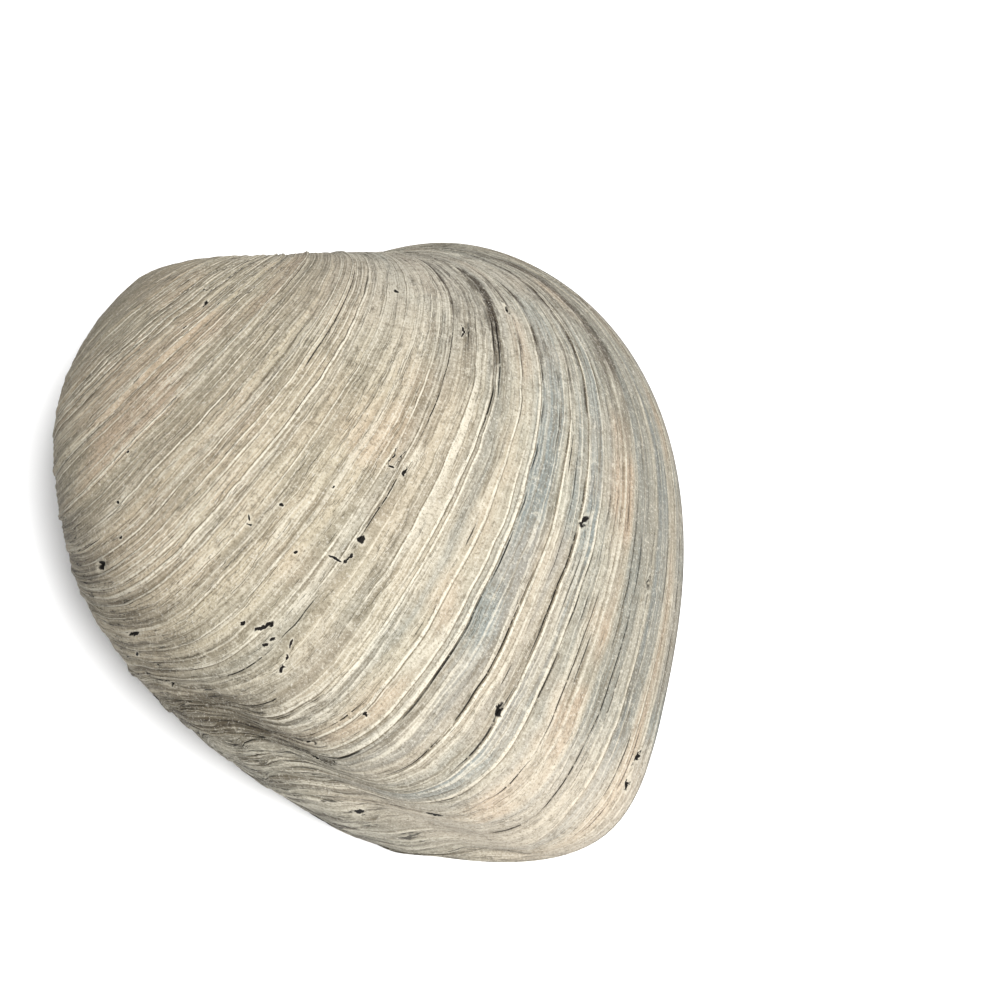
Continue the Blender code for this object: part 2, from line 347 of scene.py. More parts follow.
def column_places():
    """Places around of the outside's columns, closer together where they show."""
    low, high = SHOWN_AROUND
    weights = (low / HIDDEN_SPACING, high - low, (1 - high) / HIDDEN_SPACING)
    shares = np.cumsum((0.0,) + weights) / sum(weights)
    even = np.interp(np.linspace(0, 1, OUTSIDE_COLUMNS), shares, (0.0, low, high, 1.0))
    columns = [0.0, 1.0]
    pits = [place for place, _, half_length, *_ in PITS if half_length >= PITS_IN_MESH]
    for place in pits + list(even):
        if min(abs(place - column) for column in columns) > CLOSEST_COLUMNS:
            columns.append(place)
    return np.sort(columns)


def ridge_list():
    """Size, half width, strength and height of each fine raised line."""
    dice = np.random.default_rng(11)
    ridges = []
    for size, strength in RIDGES:
        width = RIDGE_HALF_WIDTH * dice.uniform(0.8, 1.2)
        ridges.append((size, width, (0.35, 0.7, 1.0)[strength - 1], strength * RIDGE_HEIGHT))
    return ridges


def groove_side(number):
    """Whether a ridge's groove lies on its belly side (1) or its hinge side (-1)."""
    return 1 if number % 3 else -1


def row_sizes(ridges):
    """Sizes of the mesh's growth rows: on each feature, and even between."""
    rows = [SMALLEST, 0.06, 0.08, 1.0]
    for size, *_ in CRACKS:
        rows += [size - CRACK_HALF_WIDTH, size, size + CRACK_HALF_WIDTH]
    others = [size for size, *_ in ridges]
    for number, (size, width, *_) in enumerate(ridges):
        others += [size - width, size + width]
        others.append(size + groove_side(number) * (width + GROOVE_WIDTH))
    for size, _ in LEDGES:
        others += [size, size + LEDGE_DROP]
    for size in others:
        if min(abs(size - row) for row in rows) > CLOSEST_ROWS:
            rows.append(size)
    rows.sort()
    filled = []
    for row, following in zip(rows, rows[1:]):
        widest = WIDEST_ROWS * (EARLY_ROWS_GAP if row < EARLY_ROWS_END else 1.0)
        steps = math.ceil((following - row) / widest)
        filled += [row + (following - row) * k / steps for k in range(steps)]
    return np.array(filled + [1.0])


def line_shift(sizes, around):
    """How far each growth line strays from the spiral's, as a change of size."""
    # A lean that fades late in growth, with small waves everywhere
    lean = LEAN * np.exp(-np.maximum(sizes - LEAN_SIZE, 0) / LEAN_FADE)
    lean = lean * np.minimum(sizes / LEAN_SIZE, 1)
    shift = lean * np.clip(around - LEAN_MIDDLE, -LEAN_REACH, LEAN_REACH)
    shift = shift + 0.0012 * noise(around * 24, sizes * 34, 1)
    shift = shift + 0.0006 * noise(around * 90, sizes * 90, 2)
    # Late lines dip into the furrow and run back over the rib
    late = smoothstep(0.76, 0.82, sizes) * smoothstep(0.965, 0.91, sizes)
    shift = shift - 0.028 * smoothstep(0.600, 0.660, around) * late
    shift = shift + 0.045 * smoothstep(0.665, 0.765, around) * smoothstep(0.66, 0.76, sizes)
    shift = shift + 0.016 * smoothstep(0.56, 0.63, around) * smoothstep(0.925, 0.955, sizes)
    # Rougher waves in the fold and on the head side
    rough = smoothstep(0.58, 0.63, around) * smoothstep(0.72, 0.79, sizes)
    shift = shift + 0.0050 * rough * noise(around * 42, sizes * 46, 3)
    shift = shift + 0.0028 * rough * noise(around * 110, sizes * 95, 4)
    head = smoothstep(0.27, 0.19, around) * smoothstep(0.70, 0.80, sizes)
    shift = shift + 0.0025 * head * noise(around * 60, sizes * 60, 9)
    return shift * smoothstep(1.0, 0.965, sizes)


def ledge_height(sizes, around):
    """The steps between growth stages, each a slow rise and a quick drop."""
    height = np.zeros(np.broadcast(sizes, around).shape)
    foot = 0.15
    for number, (size, step) in enumerate(LEDGES):
        rise = (sizes - foot) / (size - foot) - 0.5
        drop = 0.5 - (sizes - size) / LEDGE_DROP
        inside = (sizes >= foot) & (sizes <= size)
        falling = (sizes > size) & (sizes < size + LEDGE_DROP)
        wave = 0.75 + 0.5 * noise(around * 9 + 5 * number, sizes * 0, 20 + number)
        profile = np.where(inside, rise**3 * 4, np.where(falling, drop, 0))
        height = height + profile * step * MM * wave
        foot = size + LEDGE_DROP
    return height


def ridge_relief(sizes, around, ridges):
    """Strength from 0 to 1 and height of the fine lines, and the grooves at their feet."""
    shape = np.broadcast(sizes, around).shape
    light, height, dark = np.zeros(shape), np.zeros(shape), np.zeros(shape)
    rows, along = sizes[:, 0], around[0]
    for number, (size, width, strength, top) in enumerate(ridges):
        near = np.abs(rows - size) < width * 1.001
        profile = np.clip(1 - np.abs(rows[near] - size) / width, 0, 1)[:, None]
        shown = 0.85 + 0.45 * noise(along * 9 + 3.7 * number, along * 0, 60 + number)
        shown = np.clip(shown + 0.2 * noise(along * 50, along * 0, 200 + number), 0.2, 1.2)
        light[near] = np.maximum(light[near], profile * shown * strength)
        height[near] = np.maximum(height[near], profile * shown * top)
        foot = np.argmin(np.abs(rows - size - groove_side(number) * width))
        dark[foot] = np.maximum(dark[foot], shown * strength)
    return light, height, dark


def crack_depth(sizes, around):
    """The open cracks between layers, as a depth, broken up along their run."""
    depth = np.zeros(np.broadcast(sizes, around).shape)
    rows = sizes[:, 0]
    for number, (size, start, end, deep) in enumerate(CRACKS):
        near = np.abs(rows - size) < CRACK_HALF_WIDTH * 0.5
        ends = smoothstep(start - 0.02, start + 0.02, around[0])
        ends = ends * smoothstep(end + 0.02, end - 0.02, around[0])
        breaks = 0.55 + 0.75 * noise(around[0] * 60 + number * 1.3, around[0] * 0, 300 + number)
        depth[near] = np.maximum(depth[near], ends * np.clip(breaks, 0.15, 1) * deep * MM)
    return depth


def fold_height(sizes, around):
    """The furrow and low rib that run down the tail side."""
    fold = RIB_HEIGHT * bump(around, RIB_PLACE, RIB_WIDTH)
    fold = fold - FURROW_DEPTH * bump(around, FURROW_PLACE, FURROW_WIDTH)
    return fold * smoothstep(FOLD_START - 0.06, FOLD_START + 0.1, sizes)


def pit_depth(sizes, around):
    """The larger pits, which are dents of the mesh."""
    depth = np.zeros(np.broadcast(sizes, around).shape)
    for place, size, half_length, half_width, slant in PITS:
        if half_length < PITS_IN_MESH:
            continue
        x = (around - place) * AROUND_TO_SIZE
        y = sizes - size
        x, y = x * math.cos(slant) + y * math.sin(slant), y * math.cos(slant) - x * math.sin(slant)
        away = np.hypot(x / (half_length * AROUND_TO_SIZE), y / half_width)
        depth = np.maximum(depth, PIT_DEPTH * smoothstep(1.15, 0.35, away))
    return depth


def worn_height(sizes, around):
    """Unevenness of the weathered surface, rougher on the tail side."""
    tail = smoothstep(0.56, 0.66, around) * smoothstep(0.55, 0.80, sizes)
    head = smoothstep(0.24, 0.14, around) * smoothstep(0.60, 0.80, sizes)
    rough = 1 + 2.4 * tail + 1.6 * head
    height = 0.16 * noise(around * 12, sizes * 9, 5)
    height = height + 0.05 * rough * noise(around * 46, sizes * 70, 6)
    height = height + 0.035 * rough * noise(around * 75, sizes * 190, 7)
    height = height + 0.13 * tail * noise(around * 60, sizes * 130, 8)
    return height * MM


def outside_grid():
    """Points, and the looks that ride on them, of the outer surface."""
    ridges = ridge_list()
    places = column_places()
    rows = row_sizes(ridges)
    hinge = np.linspace(1, 0, HINGE_COLUMNS + 1)[1:-1]
    around = np.concatenate((places, hinge))[None, :]
    on_hinge = np.arange(around.shape[1]) >= len(places)
    sizes = np.repeat(rows[:, None], around.shape[1], axis=1)
    ends = smoothstep(0, 0.05, around) * smoothstep(1, 0.95, around)
    ends = np.where(on_hinge, 0, ends)
    moved = np.clip(sizes + line_shift(sizes, around) * ends, SMALLEST, 1)
    moved[-1] = 1
    points = spiral(moved, places, HINGE_COLUMNS)
    normals = outward(spiral(sizes, places, HINGE_COLUMNS))
    light, lines, dark = ridge_relief(sizes, around, ridges)
    cracks = crack_depth(sizes, around)
    height = ledge_height(sizes, around) + lines - dark * GROOVE_DEPTH - cracks
    height = height + worn_height(sizes, around) + fold_height(sizes, around)
    height = height - pit_depth(sizes, around)
    height = height * ends * smoothstep(1.0, RIM_CALM, sizes) * smoothstep(*BEAK_CALM, sizes)
    points = points + normals * height[..., None]
    points[-1, :, 2] = 0
    looks = {
        "size": sizes,
        "around": np.repeat(np.where(on_hinge, 0.0, around), len(rows), axis=0),
        "ridge": light,
        "groove": dark,
        "crack": cracks / BLACK_DEPTH,
    }
    return points, looks, places


def search_tree(rings):
    """A search tree of a lofted surface, for measuring the wall."""
    count, around = rings.shape[:2]
    corners = grid_faces(count, around, 0)
    return BVHTree.FromPolygons(rings.reshape(-1, 3).tolist(), corners.tolist())


def grid_faces(rows, columns, first):
    """Corner numbers of the quads between rings, which close on themselves."""
    i, k = np.meshgrid(np.arange(rows - 1), np.arange(columns), indexing="ij")
    right = (k + 1) % columns
    quads = np.stack((i * columns + k, i * columns + right,
                      (i + 1) * columns + right, (i + 1) * columns + k), axis=-1)
    return quads.reshape(-1, 4) + first


def smoothed_around(rows, azimuths):
    """Rows of values around the shell, averaged with their neighbours."""
    apart = (azimuths[:, None] - azimuths + math.pi) % math.tau - math.pi
    weights = bump(apart, 0, INSIDE_SMOOTHING)
    return rows @ (weights / weights.sum(axis=0))


def inside_columns():
    """Places of the inside's columns on the rim, closest on the hinge plate."""
    on_rim = INSIDE_COLUMNS - INSIDE_HINGE_STEPS + 1
    places = np.interp(np.linspace(0, 1, on_rim), (0, 0.12, 0.88, 1), (0, 0.06, 0.92, 1))
    return places, INSIDE_HINGE_STEPS


def socket_depth(x, y):
    """Depth of the hinge's tooth sockets and ligament groove under the rim."""
    depth = np.zeros(x.shape)
    for x0, y0, x1, y1, half, deep in SOCKETS:
        start = np.array((x0, y0)) * MM
        run = np.array((x1 - x0, y1 - y0)) * MM
        share = ((x - start[0]) * run[0] + (y - start[1]) * run[1]) / (run @ run)
        share = np.clip(share, 0, 1)
        away = np.hypot(x - start[0] - share * run[0], y - start[1] - share * run[1])
        depth = np.maximum(depth, deep * MM * smoothstep(half * 1.5 * MM, half * 0.6 * MM, away))
    return depth


def inside_grid():
    """Points and looks of the rim band and the hollow, from the rim's edge in."""
    places, hinge_steps = inside_columns()
    rim = spiral(np.ones((1, len(places) + hinge_steps - 1)), places, hinge_steps)[0]
    coarse = np.ones((1, WALL_RINGS + HINGE_COLUMNS - 1))
    coarse = np.linspace(SMALLEST, 1, WALL_RINGS)[:, None] * coarse
    tree = search_tree(spiral(coarse, np.linspace(0, 1, WALL_RINGS), HINGE_COLUMNS))
    centre = INSIDE_CENTRE + np.array((*BEAK_PLACE, 0.0))
    offsets = rim - centre
    azimuths = np.arctan2(offsets[:, 1], offsets[:, 0])
    from_plate = (azimuths - PLATE_MIDDLE + math.pi) % math.tau - math.pi
    plate = np.exp(-(from_plate / PLATE_SPREAD) ** 4)
    band = RIM_WIDTH + (PLATE_WIDTH - RIM_WIDTH) * plate
    reach = np.hypot(offsets[:, 0], offsets[:, 1])
    edge = smoothed_around((reach - band)[None], azimuths)[0]
    flat = np.column_stack((np.cos(azimuths), np.sin(azimuths), 0 * azimuths))
    rings, inward = [], []
    for step in np.linspace(BAND_START, 1, BAND_ROWS):
        out = reach + (edge - reach) * step
        ring = centre + flat * out[:, None]
        x, y = ring[:, 0] - BEAK_PLACE[0], ring[:, 1] - BEAK_PLACE[1]
        clear = smoothstep(1.0, 0.90, step) * smoothstep(0.04, 0.12, step)
        ring[:, 2] = socket_depth(x, y) * clear
        ring[:, 2] += RIM_BEVEL * smoothstep(0.55, 1, step) * (1 - plate)
        rings.append(ring)
        inward.append(np.zeros(len(ring)))
    angles = 90 * (np.arange(1, INSIDE_ROWS) / INSIDE_ROWS) ** CROWDED_ROWS
    reaches, ways = [], []
    for angle in angles:
        rise = math.radians(angle)
        way = flat * math.cos(rise) + np.array((0, 0, math.sin(rise)))
        hits = [tree.ray_cast(Vector(centre), Vector(line))[3] for line in way]
        spread = edge + angle * INSIDE_SPREAD_PER_DEGREE
        reaches.append(np.minimum(np.array(hits) - WALL, spread))
        ways.append(way)
    reaches = smoothed_around(np.array(reaches), azimuths)
    teeth = TOOTH_HEIGHT * (-1.0) ** np.arange(len(azimuths))
    belly = smoothstep(0.25, 0.05, plate)
    for row, (way, out) in enumerate(zip(ways, reaches)):
        lip = smoothstep(TOOTH_ROWS, 0, row) * belly
        rings.append(centre + way * (out + teeth * lip)[:, None])
        inward.append(np.full(len(out), (row + 1) / INSIDE_ROWS))
    top = tree.ray_cast(Vector(centre), Vector((0, 0, 1)))[3] - WALL
    crown = centre + np.array((0, 0, top))
    return np.array(rings), np.array(inward), crown, places, hinge_steps


def ring_places(places, hinge_steps):
    """Each column's share of the way round the closed ring."""
    hinge = np.linspace(1 - HINGE_SHARE, 1, hinge_steps + 1)[1:-1]
    return np.concatenate((places * (1 - HINGE_SHARE), hinge))


def zip_rings(near, near_places, far, far_places):
    """Triangles between two closed rings with unlike numbers of columns."""
    faces = []
    i = k = 0
    while i < len(near) or k < len(far):
        next_near = near_places[i + 1] if i + 1 < len(near) else 1.0
        next_far = far_places[k + 1] if k + 1 < len(far) else 1.0
        a, b = near[i % len(near)], far[k % len(far)]
        if k >= len(far) or (i < len(near) and next_near <= next_far):
            faces.append((a, near[(i + 1) % len(near)], b))
            i += 1
        else:
            faces.append((a, far[(k + 1) % len(far)], b))
            k += 1
    return faces


def build_valve():
    """One closed mesh: outside, rim, hinge plate and hollow."""
    outer, looks, places = outside_grid()
    inner, inward, top, rim_places, hinge_steps = inside_grid()
    rows, columns = outer.shape[:2]
    in_rows, in_columns = inner.shape[:2]
    outside_count = rows * columns
    tip = outside_count + in_rows * in_columns
    grids = (outer.reshape(-1, 3), inner.reshape(-1, 3), outer[0].mean(axis=0), top)
    vertices = np.clip(np.vstack(grids), *np.array(cad_box))
    quads = grid_faces(rows, columns, 0).tolist()
    near = np.arange(outside_count - columns, outside_count)
    far = np.arange(outside_count, outside_count + in_columns)
    near_places = ring_places(places, HINGE_COLUMNS)
    far_places = ring_places(rim_places, hinge_steps)
    seam = zip_rings(near, near_places, far, far_places)
    hollow = grid_faces(in_rows, in_columns, outside_count).tolist()
    first, last = np.arange(columns), np.arange(tip - in_columns, tip)
    beak = [(int(b), int(a), tip) for a, b in zip(first, np.roll(first, -1))]
    crown = [(int(a), int(b), tip + 1) for a, b in zip(last, np.roll(last, -1))]
    seam = [tuple(int(n) for n in face) for face in seam]
    faces = quads + beak + seam + hollow + crown
    mesh = bpy.data.meshes.new("valve")
    mesh.from_pydata(vertices.tolist(), [], faces)
    mesh.shade_smooth()
    inside_count = in_rows * in_columns

    def store(name, values):
        mesh.attributes.new(name, "FLOAT", "POINT").data.foreach_set("value", values)

    for name, values in looks.items():
        extra = 1.0 if name == "size" else 0.0
        store(name, np.concatenate((values.ravel(), np.full(inside_count + 2, extra))))
    store("inside", np.concatenate((np.zeros(outside_count), inward.ravel(), (0.0, 1.0))))
    slots = np.zeros(len(faces), dtype=int)
    slots[len(quads) + len(beak):] = 1
    mesh.polygons.foreach_set("material_index", slots)
    mesh.update()
    valve = bpy.data.objects.new("valve", mesh)
    bpy.context.scene.collection.objects.link(valve)
    return valve


class Graph:
    """Adds and links a material's nodes."""

    def __init__(self, name):
        self.material = bpy.data.materials.new(name)
        self.material.use_nodes = True
        self.tree = self.material.node_tree
        self.shader = self.tree.nodes["Principled BSDF"]

    def node(self, kind, **settings):
        made = self.tree.nodes.new(kind)
        for key, value in settings.items():
            setattr(made, key, value)
        return made

    def put(self, socket, value):
        if isinstance(value, bpy.types.NodeSocket):
            self.tree.links.new(value, socket)
        elif value is not None:
            socket.default_value = value

    def attribute(self, name):
        return self.node("ShaderNodeAttribute", attribute_name=name).outputs["Fac"]

    def place(self):
        return self.node("ShaderNodeTexCoord").outputs["Object"]

    def math(self, operation, a, b=None, c=None):
        made = self.node("ShaderNodeMath", operation=operation)
        for socket, value in zip(made.inputs, (a, b, c)):
            self.put(socket, value)
        return made.outputs[0]

    def times(self, first, *others):
        """The product of all the values."""
        product = first
        for other in others:
            product = self.math("MULTIPLY", product, other)
        return product

    def vector(self, x, y, z=0.0):
        made = self.node("ShaderNodeCombineXYZ")
        for socket, value in zip(made.inputs, (x, y, z)):
            self.put(socket, value)
        return made.outputs[0]

    def noise(self, place, scale, detail=2.0, roughness=0.5):
        made = self.node("ShaderNodeTexNoise")
        self.put(made.inputs["Vector"], place)
        made.inputs["Scale"].default_value = scale
        made.inputs["Detail"].default_value = detail
        made.inputs["Roughness"].default_value = roughness
        return made.outputs["Fac"]

    def ramp(self, value, stops, low=0.0, high=1.0):
        """Reads a value from low to high through (place, height) stops."""
        made = self.node("ShaderNodeValToRGB")
        spread = 1 / (high - low)
        self.put(made.inputs[0], self.math("MULTIPLY_ADD", value, spread, -low * spread))
        points = made.color_ramp.elements
        while len(points) < len(stops):
            points.new(0.5)
        for point, (where, height) in zip(points, stops):
            point.position = (where - low) * spread
            point.color = (height, height, height, 1)
        return made.outputs[0]

    def steep(self, value, low, high):
        """0 below low, 1 above high, and smooth between."""
        made = self.node("ShaderNodeMapRange", interpolation_type="SMOOTHSTEP")
        self.put(made.inputs["Value"], value)
        made.inputs["From Min"].default_value = low
        made.inputs["From Max"].default_value = high
        return made.outputs[0]

    def mix(self, share, a, b):
        made = self.node("ShaderNodeMix", data_type="RGBA")
        self.put(made.inputs[0], share)
        self.put(made.inputs[6], a)
        self.put(made.inputs[7], b)
        return made.outputs[2]

    def tint(self, colour, share, strength, towards):
        """The colour, moved towards another by share times strength."""
        return self.mix(self.times(share, strength), colour, towards)

    def between(self, value, rise, fall):
        """1 between two smooth edges, each from its outer to its inner place."""
        return self.times(self.steep(value, *rise), self.steep(value, *fall))

    def length(self, vector):
        made = self.node("ShaderNodeVectorMath", operation="LENGTH")
        self.put(made.inputs[0], vector)
        return made.outputs["Value"]

    def oval(self, vector, middle, slant, halves):
        """The distance from an oval's middle, 1 on its edge."""
        made = self.node("ShaderNodeMapping", vector_type="TEXTURE")
        self.put(made.inputs["Vector"], vector)
        made.inputs["Location"].default_value = (*middle, 0)
        made.inputs["Rotation"].default_value = (0, 0, slant)
        made.inputs["Scale"].default_value = (*halves, 1)
        return self.length(made.outputs[0])

    def dent(self, height, strength, distance):
        made = self.node("ShaderNodeBump")
        made.inputs["Strength"].default_value = strength
        made.inputs["Distance"].default_value = distance
        self.put(made.inputs["Height"], height)
        self.put(self.shader.inputs["Normal"], made.outputs["Normal"])


def shade(red, green, blue):
    """A colour given in the photograph's display values, 0 to 255."""
    linear = [EXPOSURE * ((c / 255 + 0.055) / 1.055) ** 2.4 for c in (red, green, blue)]
    return (*linear, 1.0)


CREAM = shade(255, 247, 226)
SAND = shade(210, 198, 172)
STONE = shade(178, 168, 145)
ASH = shade(178, 178, 165)
ASH_WITH_PAINTED_LIGHT = shade(224, 221, 206)
TAUPE = shade(168, 158, 136)
GROOVE = shade(120, 109, 88)
DARK = shade(78, 68, 52)
UMBER = shade(66, 55, 42)
BLACK = shade(22, 18, 14)
SLATE = shade(138, 151, 153)
PEACH = shade(226, 195, 164)
CHALK = shade(246, 240, 226)

# Strength of a tint along the growth sizes: size, and strength from 0 to 1
BLUE_RUN = (
    (0.70, 0.0), (0.72, 0.0), (0.735, 0.25), (0.75, 0.10), (0.785, 0.30),
    (0.800, 0.60), (0.808, 0.05), (0.822, 0.10), (0.828, 0.55), (0.834, 0.80),
    (0.852, 0.75), (0.857, 0.05), (0.864, 0.10), (0.870, 0.65), (0.877, 0.20),
    (0.882, 0.90), (0.892, 0.80), (0.896, 0.15), (0.903, 0.55), (0.910, 0.05),
    (0.925, 0.10), (0.929, 0.85), (0.940, 0.60), (0.953, 0.40), (0.957, 0.10),
    (0.961, 1.00), (0.972, 0.90), (0.976, 0.0), (0.984, 0.10), (0.990, 0.75),
)
PEACH_RUN = (
    (0.0, 0.1), (0.30, 0.30), (0.50, 0.75), (0.535, 0.75), (0.548, 0.05),
    (0.60, 0.30), (0.68, 0.20), (0.715, 0.60), (0.74, 0.25), (0.80, 0.10),
    (0.815, 0.60), (0.825, 0.15), (0.86, 0.35), (0.90, 0.25), (0.909, 0.95),
    (0.926, 0.85), (0.93, 0.05), (0.973, 0.10), (0.978, 0.95), (0.986, 0.3),
)
YOUNG_RUN = (
    (0.0, 0.75), (0.33, 0.65), (0.39, 0.30), (0.52, 0.15), (0.543, 0.15),
    (0.550, 0.50), (0.585, 0.40), (0.60, 0.05), (0.70, 0.05), (0.80, 0.0),
)
HEAD_RUN = (
    (0.700, 0.0), (0.739, 0.0), (0.741, 1.0), (0.744, 1.0), (0.746, 0.2),
    (0.757, 0.6), (0.767, 0.2), (0.779, 0.2), (0.783, 1.0), (0.795, 1.0),
    (0.799, 0.1), (0.809, 0.1), (0.811, 1.0), (0.814, 1.0), (0.816, 0.1),
    (0.829, 0.1), (0.831, 1.0), (0.834, 1.0), (0.836, 0.1), (0.860, 0.1),
    (0.863, 0.8), (0.866, 0.1), (0.874, 0.1), (0.876, 1.0), (0.879, 1.0),
    (0.881, 0.1), (0.906, 0.2), (0.909, 1.0), (0.912, 0.4), (0.922, 0.9),
    (0.933, 0.8), (0.940, 0.0),
)


class Outside(Graph):
    """The outside's nodes, with the growth lines that its patterns follow."""

    def __init__(self):
        super().__init__("weathered_outside")
        self.spot = self.place()
        self.around = self.attribute("around")
        self.even_size = self.attribute("size")
        wobble = self.math("SUBTRACT", self.noise(self.spot, 300, 2, 0.6), 0.5)
        self.size = self.math("MULTIPLY_ADD", wobble, 0.0020, self.even_size)

    def lines(self, around_scale, size_scale, seed, detail=3.0, roughness=0.65):
        """Noise drawn out along the growth lines."""
        across = self.times(self.around, around_scale)
        along = self.times(self.size, size_scale)
        return self.noise(self.vector(across, along, seed), 1.0, detail, roughness)

    def thread(self, value, width):
        """Thin wandering lines, where a noise crosses its middle."""
        away = self.math("ABSOLUTE", self.math("SUBTRACT", value, 0.5))
        return self.steep(away, width, width * 0.15)


def pit_distance(g):
    """Distance to the nearest pit, 1 on its edge."""
    wobble = g.node("ShaderNodeTexNoise")
    g.put(wobble.inputs["Vector"], g.spot)
    wobble.inputs["Scale"].default_value = 1300
    wobble.inputs["Detail"].default_value = 2
    shift = g.node("ShaderNodeVectorMath", operation="SUBTRACT")
    g.put(shift.inputs[0], wobble.outputs["Color"])
    shift.inputs[1].default_value = (0.5, 0.5, 0.5)
    spot = g.node("ShaderNodeVectorMath", operation="MULTIPLY_ADD")
    g.put(spot.inputs[0], shift.outputs[0])
    spot.inputs[1].default_value = (0.008, 0.006, 0.0)
    g.put(spot.inputs[2], g.vector(g.times(g.around, AROUND_TO_SIZE), g.even_size))
    nearest = None
    for where, at_size, half_length, half_width, slant in PITS:
        middle = (where * AROUND_TO_SIZE, at_size)
        away = g.oval(spot.outputs[0], middle, slant, (half_length * AROUND_TO_SIZE, half_width))
        nearest = away if nearest is None else g.math("MINIMUM", nearest, away)
    return nearest


def layer_colour(g, middle, fine):
    """Stone and sand, greyer late in growth and a paler grey on the head side, partly painted light
    there, with blue-grey and peach bands and fine lines, painted shade in the grooves and cream
    ridges with painted highlight.
    """
    broad = g.lines(1.7, 62, 1.3, 2, 0.55)
    colour = g.mix(g.steep(broad, 0.43, 0.55), STONE, SAND)
    colour = g.tint(colour, g.steep(middle, 0.50, 0.66), 0.24, CREAM)
    colour = g.tint(colour, g.steep(middle, 0.48, 0.34), 0.24, GROOVE)
    # The head side turns a paler grey: partly its own grey tone, partly painted light
    head_side = g.times(g.steep(g.around, 0.38, 0.22), g.steep(g.size, 0.50, 0.72))
    colour = g.tint(colour, head_side, 0.90, ASH_WITH_PAINTED_LIGHT)
    colour = g.tint(colour, g.steep(g.size, 0.76, 0.88), 0.60, ASH)

    blue = g.times(g.ramp(g.size, BLUE_RUN, 0.70, 1.0), g.steep(g.lines(5, 60, 2.2, 2), 0.30, 0.58))
    blue = g.times(blue, g.between(g.around, (0.16, 0.34), (0.66, 0.58)))
    colour = g.tint(colour, blue, 0.95, SLATE)
    patches = g.steep(g.noise(g.spot, 60, 2, 0.5), 0.36, 0.60)
    peach = g.times(g.ramp(g.size, PEACH_RUN), patches, g.steep(g.around, 0.68, 0.56))
    colour = g.tint(colour, peach, 0.70, PEACH)

    colour = g.tint(colour, g.thread(g.lines(2, 75, 3.1, 2, 0.5), 0.026), 0.50, CREAM)
    colour = g.tint(colour, g.thread(g.lines(2.5, 90, 8.3, 2, 0.5), 0.022), 0.50, GROOVE)
    colour = g.tint(colour, g.steep(fine, 0.53, 0.64), 0.24, CREAM)
    colour = g.tint(colour, g.steep(fine, 0.45, 0.32), 0.26, GROOVE)
    colour = g.mix(g.ramp(g.size, YOUNG_RUN), colour, TAUPE)
    # Painted shade in the grooves at the ridges' feet; the ridges' own cream colour, with painted
    # highlight on their crests
    colour = g.tint(colour, g.steep(g.attribute("groove"), 0.20, 0.85), 0.85, GROOVE)
    return g.tint(colour, g.steep(g.attribute("ridge"), 0.16, 0.66), 0.82, CREAM)


def weathered_and_shaded_colour(g, colour):
    """Dark streaks and painted shade on the tail and head sides, and painted shade on the fold's
    face. Also gives how weathered and shaded it is, and the marks.
    """
    tail = g.times(g.steep(g.around, 0.555, 0.64), g.steep(g.size, 0.38, 0.56))
    pale_edge = g.times(g.steep(g.size, 0.86, 0.93), g.steep(g.around, 0.68, 0.61))
    tail = g.times(tail, g.math("MULTIPLY_ADD", pale_edge, -0.75, 1.0))
    head = g.times(g.steep(g.around, 0.36, 0.20), g.steep(g.size, 0.52, 0.76))
    worn_and_shaded = g.math("MAXIMUM", tail, g.times(head, 0.40))
    streaks = g.steep(g.lines(8, 210, 4.4, 4, 0.75), 0.53, 0.38)
    mark_noise = g.lines(26, 150, 6.6, 3, 0.75)
    marks = g.steep(mark_noise, 0.45, 0.36)
    # Darker on the worn tail and head sides: an even painted shade, with the dark streaks over it
    colour = g.mix(g.times(worn_and_shaded, g.math("MULTIPLY_ADD", streaks, 0.66, 0.08)), colour, DARK)

    # Painted shade on the fold's face, which turns away from the light, broken up by the dark
    # streaks
    fold_face_shade = g.between(g.around, (0.585, 0.625), (0.72, 0.66))
    fold_face_shade = g.times(fold_face_shade, g.between(g.size, (0.745, 0.775), (0.87, 0.82)))
    colour = g.mix(g.times(fold_face_shade, g.math("MULTIPLY_ADD", streaks, 0.45, 0.45)), colour, DARK)
    edge = g.times(g.steep(g.size, 0.86, 0.95), g.steep(g.around, 0.56, 0.48))
    colour = g.tint(colour, edge, 0.34, GROOVE)
    foot = g.times(g.steep(g.around, 0.50, 0.56), pale_edge)
    colour = g.tint(colour, foot, 0.32, CREAM)
    colour = g.tint(colour, foot, 0.22, PEACH)

    bands = g.times(g.ramp(g.size, HEAD_RUN, 0.70, 0.95), g.steep(mark_noise, 0.60, 0.46))
    bands = g.times(bands, g.between(g.around, (0.11, 0.18), (0.37, 0.26)))
    colour = g.tint(colour, bands, 0.92, UMBER)
    late = g.times(worn_and_shaded, g.steep(g.size, 0.70, 0.80))
    return g.tint(colour, g.times(marks, late), 0.85, DARK), worn_and_shaded, marks


